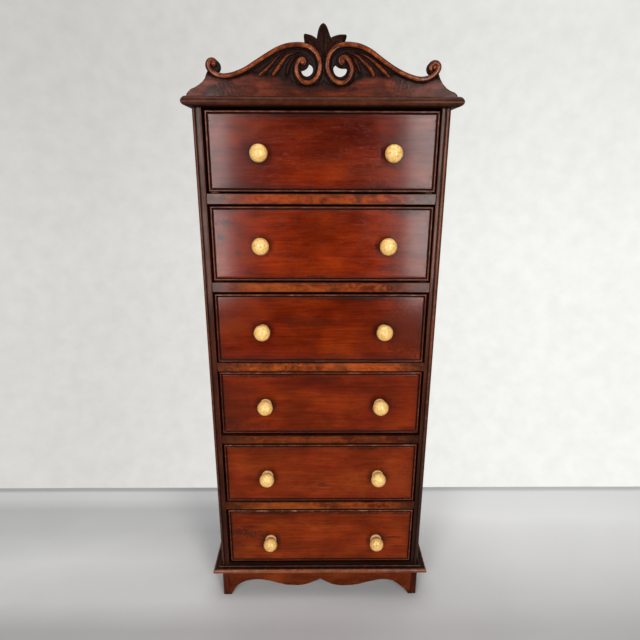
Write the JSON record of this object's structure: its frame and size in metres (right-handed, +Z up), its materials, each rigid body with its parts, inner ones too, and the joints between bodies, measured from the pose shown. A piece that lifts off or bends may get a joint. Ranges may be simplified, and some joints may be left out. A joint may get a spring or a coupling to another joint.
{
  "type": "miniature chest of drawers",
  "caption": "Tall narrow miniature chest with sliding drawers, turned pale knobs, a nosed cornice under a carved pierced scroll crest, and a scalloped apron on bracket feet.",
  "frame": {"origin": "on the floor, in the middle of the width, halfway between the front of the knobs and the back of the case", "axes": "+Z up; the drawers open towards -Y; +X to the viewer's right when facing the drawers"},
  "size_m": [0.3074, 0.1994, 0.7516],
  "materials": {
    "case_wood": "polished, worn",
    "dark_wood": "polished, darkened",
    "carved_wood": "carved, darkened in the hollows",
    "front_wood": "french polished",
    "plain_wood": "unfinished",
    "knob_wood": "polished, pale"
  },
  "bodies": {
    "case": {"side_panel_left": "case_wood", "side_panel_right": "case_wood", "stile_left": "dark_wood", "stile_right": "dark_wood", "back_panel": "plain_wood", "bottom_board": "case_wood", "divider_1": "case_wood", "divider_2": "case_wood", "divider_3": "case_wood", "divider_4": "case_wood", "divider_5": "case_wood", "cornice_board": "dark_wood", "crest_board": "carved_wood", "base_board": "dark_wood", "apron_front": "dark_wood", "apron_left": "dark_wood", "apron_right": "dark_wood"},
    "drawer_1": {"drawer_1_front": "front_wood", "drawer_1_side_left": "plain_wood", "drawer_1_side_right": "plain_wood", "drawer_1_back": "plain_wood", "drawer_1_bottom": "plain_wood", "drawer_1_knob_left": "knob_wood", "drawer_1_knob_right": "knob_wood"},
    "drawer_2": {"drawer_2_front": "front_wood", "drawer_2_side_left": "plain_wood", "drawer_2_side_right": "plain_wood", "drawer_2_back": "plain_wood", "drawer_2_bottom": "plain_wood", "drawer_2_knob_left": "knob_wood", "drawer_2_knob_right": "knob_wood"},
    "drawer_3": {"drawer_3_front": "front_wood", "drawer_3_side_left": "plain_wood", "drawer_3_side_right": "plain_wood", "drawer_3_back": "plain_wood", "drawer_3_bottom": "plain_wood", "drawer_3_knob_left": "knob_wood", "drawer_3_knob_right": "knob_wood"},
    "drawer_4": {"drawer_4_front": "front_wood", "drawer_4_side_left": "plain_wood", "drawer_4_side_right": "plain_wood", "drawer_4_back": "plain_wood", "drawer_4_bottom": "plain_wood", "drawer_4_knob_left": "knob_wood", "drawer_4_knob_right": "knob_wood"},
    "drawer_5": {"drawer_5_front": "front_wood", "drawer_5_side_left": "plain_wood", "drawer_5_side_right": "plain_wood", "drawer_5_back": "plain_wood", "drawer_5_bottom": "plain_wood", "drawer_5_knob_left": "knob_wood", "drawer_5_knob_right": "knob_wood"},
    "drawer_6": {"drawer_6_front": "front_wood", "drawer_6_side_left": "plain_wood", "drawer_6_side_right": "plain_wood", "drawer_6_back": "plain_wood", "drawer_6_bottom": "plain_wood", "drawer_6_knob_left": "knob_wood", "drawer_6_knob_right": "knob_wood"}
  },
  "joints": [
    {"name": "drawer_1_slide", "type": "slide", "parent": "case", "child": "drawer_1", "axis": [0, -1, 0], "range_m": [0, 0.13]},
    {"name": "drawer_2_slide", "type": "slide", "parent": "case", "child": "drawer_2", "axis": [0, -1, 0], "range_m": [0, 0.13]},
    {"name": "drawer_3_slide", "type": "slide", "parent": "case", "child": "drawer_3", "axis": [0, -1, 0], "range_m": [0, 0.13]},
    {"name": "drawer_4_slide", "type": "slide", "parent": "case", "child": "drawer_4", "axis": [0, -1, 0], "range_m": [0, 0.13]},
    {"name": "drawer_5_slide", "type": "slide", "parent": "case", "child": "drawer_5", "axis": [0, -1, 0], "range_m": [0, 0.13]},
    {"name": "drawer_6_slide", "type": "slide", "parent": "case", "child": "drawer_6", "axis": [0, -1, 0], "range_m": [0, 0.13]}
  ]
}
